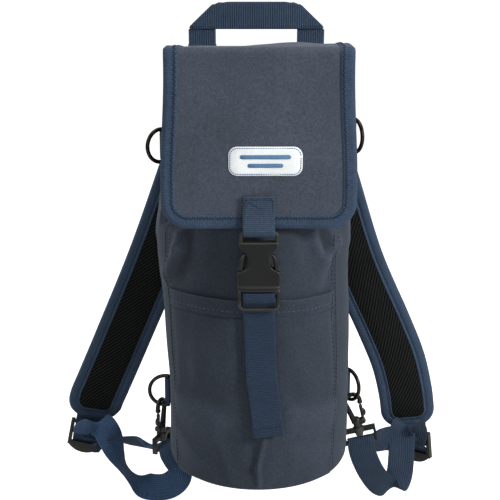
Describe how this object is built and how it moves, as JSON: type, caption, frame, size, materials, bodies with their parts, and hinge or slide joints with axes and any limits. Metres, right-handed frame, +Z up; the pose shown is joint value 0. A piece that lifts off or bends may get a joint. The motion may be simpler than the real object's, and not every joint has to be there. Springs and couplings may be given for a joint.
{
  "type": "oxygen cylinder backpack",
  "caption": "Padded fabric backpack carrier for a small medical oxygen cylinder, with a buckled fold-over flap, front pocket, top handle and clip-on padded shoulder straps.",
  "frame": {"origin": "centre of the bag's base, on the base plane; the strap loops hang below it", "axes": "+Z up along the bag, -Y is the side with the flap and buckle, +Y is the wearer's back, +X to the right seen from the front"},
  "size_m": [0.3663, 0.1936, 0.4723],
  "materials": {
    "charcoal_canvas": "woven",
    "navy_canvas": "woven",
    "blue_tape": "woven tape",
    "blue_webbing": "ribbed webbing",
    "black_mesh": "spacer mesh",
    "foam": "closed-cell foam",
    "black_lining": "plain lining",
    "board": "stiff sheet",
    "black_plastic": "satin",
    "black_metal": "black oxide",
    "white_patch": "embroidered patch"
  },
  "bodies": {
    "bag": {"front_panel": "navy_canvas", "left_side_panel": "navy_canvas", "right_side_panel": "navy_canvas", "back_panel": "navy_canvas", "base_panel": "navy_canvas", "base_board": "board", "foam_liner": "foam", "inner_lining": "black_lining", "rim_binding": "blue_tape", "pocket_panel": "navy_canvas", "pocket_hem": "navy_canvas", "back_mesh_pad": "black_mesh", "shoulder_yoke": "blue_webbing", "handle_anchor": "blue_webbing", "front_strap_fixed": "blue_webbing", "upper_left_ring_tab": "blue_webbing", "upper_right_ring_tab": "blue_webbing", "lower_left_ring_tab": "blue_webbing", "lower_right_ring_tab": "blue_webbing", "left_adjuster_web": "blue_webbing", "right_adjuster_web": "blue_webbing"},
    "flap_top": {"flap_top_panel": "charcoal_canvas", "flap_top_binding": "blue_tape"},
    "flap_front": {"flap_front_panel": "charcoal_canvas", "flap_front_stiffener": "foam", "flap_front_binding": "blue_tape", "label_patch": "white_patch", "flap_tab_web": "blue_webbing", "buckle_receiver": "black_plastic"},
    "buckle_insert": {"buckle_insert": "black_plastic", "front_strap_tail": "blue_webbing"},
    "buckle_arm_left": {"buckle_arm_left": "black_plastic"},
    "buckle_arm_right": {"buckle_arm_right": "black_plastic"},
    "carry_handle": {"carry_handle": "blue_webbing"},
    "upper_left_ring": {"upper_left_ring": "black_metal"},
    "upper_right_ring": {"upper_right_ring": "black_metal"},
    "lower_left_ring": {"lower_left_ring": "black_metal", "left_hook_base": "black_plastic"},
    "lower_right_ring": {"lower_right_ring": "black_metal", "right_hook_base": "black_plastic"},
    "left_hook": {"left_hook": "black_plastic"},
    "right_hook": {"right_hook": "black_plastic"},
    "left_hook_gate": {"left_hook_gate": "black_plastic"},
    "right_hook_gate": {"right_hook_gate": "black_plastic"},
    "left_strap": {"left_pad_mesh": "black_mesh", "left_pad_foam": "foam", "left_pad_cover": "navy_canvas", "left_pad_binding": "blue_tape", "left_slider_tab": "blue_webbing"},
    "right_strap": {"right_pad_mesh": "black_mesh", "right_pad_foam": "foam", "right_pad_cover": "navy_canvas", "right_pad_binding": "blue_tape", "right_slider_tab": "blue_webbing"},
    "left_slider": {"left_slider": "black_plastic"},
    "right_slider": {"right_slider": "black_plastic"}
  },
  "joints": [
    {"name": "flap_hinge", "type": "hinge", "parent": "bag", "child": "flap_top", "pos_m": [0, 0.068, 0.361], "axis": [-1, 0, 0], "range_deg": [0, 85]},
    {"name": "flap_fold", "type": "hinge", "parent": "flap_top", "child": "flap_front", "pos_m": [0, -0.079, 0.3695], "axis": [-1, 0, 0], "range_deg": [0, 80]},
    {"name": "buckle_release", "type": "slide", "parent": "bag", "child": "buckle_insert", "axis": [0, 0, -1], "range_m": [0, 0.038], "stiffness_N_per_m": 60, "deforming": ["buckle_arm_left", "buckle_arm_right"]},
    {"name": "arm_squeeze_left", "type": "hinge", "parent": "buckle_insert", "child": "buckle_arm_left", "pos_m": [-0.0131, -0.0872, 0.1892], "axis": [0, 1, 0], "range_deg": [0, 7]},
    {"name": "arm_squeeze_right", "type": "hinge", "parent": "buckle_insert", "child": "buckle_arm_right", "pos_m": [0.0131, -0.0872, 0.1892], "axis": [0, 1, 0], "range_deg": [-7, 0]},
    {"name": "handle_fold", "type": "hinge", "parent": "bag", "child": "carry_handle", "pos_m": [0, 0.0751, 0.362], "axis": [-1, 0, 0], "range_deg": [0, 85]},
    {"name": "upper_left_ring_swing", "type": "hinge", "parent": "bag", "child": "upper_left_ring", "pos_m": [-0.0845, 0.044, 0.28], "axis": [0, 0, 1], "range_deg": [-80, 40]},
    {"name": "upper_right_ring_swing", "type": "hinge", "parent": "bag", "child": "upper_right_ring", "pos_m": [0.0845, 0.044, 0.289], "axis": [0, 0, -1], "range_deg": [-100, 20]},
    {"name": "lower_left_ring_swing", "type": "hinge", "parent": "bag", "child": "lower_left_ring", "pos_m": [-0.0845, 0.044, 0.046], "axis": [0, 0, 1], "range_deg": [-25, 25]},
    {"name": "lower_right_ring_swing", "type": "hinge", "parent": "bag", "child": "lower_right_ring", "pos_m": [0.0845, 0.044, 0.053], "axis": [0, 0, -1], "range_deg": [-25, 0]},
    {"name": "left_hook_swivel", "type": "hinge", "parent": "lower_left_ring", "child": "left_hook", "pos_m": [-0.09152, 0.044, 0.00032], "axis": [0, 0, 1], "range_deg": [0, 25]},
    {"name": "right_hook_swivel", "type": "hinge", "parent": "lower_right_ring", "child": "right_hook", "pos_m": [0.09615, 0.03668, 0.00926], "axis": [-0.225, 0, 0.9744], "range_deg": [0, 25]},
    {"name": "left_gate_press", "type": "hinge", "parent": "left_hook", "child": "left_hook_gate", "pos_m": [-0.09392, 0.03807, 0.00852], "axis": [-0.9272, 0.3746, 0], "range_deg": [0, 22]},
    {"name": "right_gate_press", "type": "hinge", "parent": "right_hook", "child": "right_hook_gate", "pos_m": [0.10048, 0.03757, 0.01867], "axis": [0.1356, -0.9903, 0.0313], "range_deg": [0, 22]},
    {"name": "left_strap_lift", "type": "hinge", "parent": "bag", "child": "left_strap", "pos_m": [-0.038, 0.0775, 0.331], "axis": [0.9552, 0, -0.2961], "range_deg": [0, 16], "deforming": ["left_adjuster_web"]},
    {"name": "right_strap_lift", "type": "hinge", "parent": "bag", "child": "right_strap", "pos_m": [0.038, 0.0775, 0.331], "axis": [0.9552, 0, 0.2961], "range_deg": [0, 16], "deforming": ["right_adjuster_web"]},
    {"name": "left_slider_tilt", "type": "hinge", "parent": "left_strap", "child": "left_slider", "pos_m": [-0.1685, 0.089, -0.007], "axis": [0.9781, 0, -0.2079], "range_deg": [0, 45]},
    {"name": "right_slider_tilt", "type": "hinge", "parent": "right_strap", "child": "right_slider", "pos_m": [0.158, 0.089, -0.0165], "axis": [0.7618, -0.6428, 0.0801], "range_deg": [0, 45]}
  ],
  "couplings": [
    {"joint": "arm_squeeze_right", "follows": "arm_squeeze_left", "ratio": -1}
  ]
}
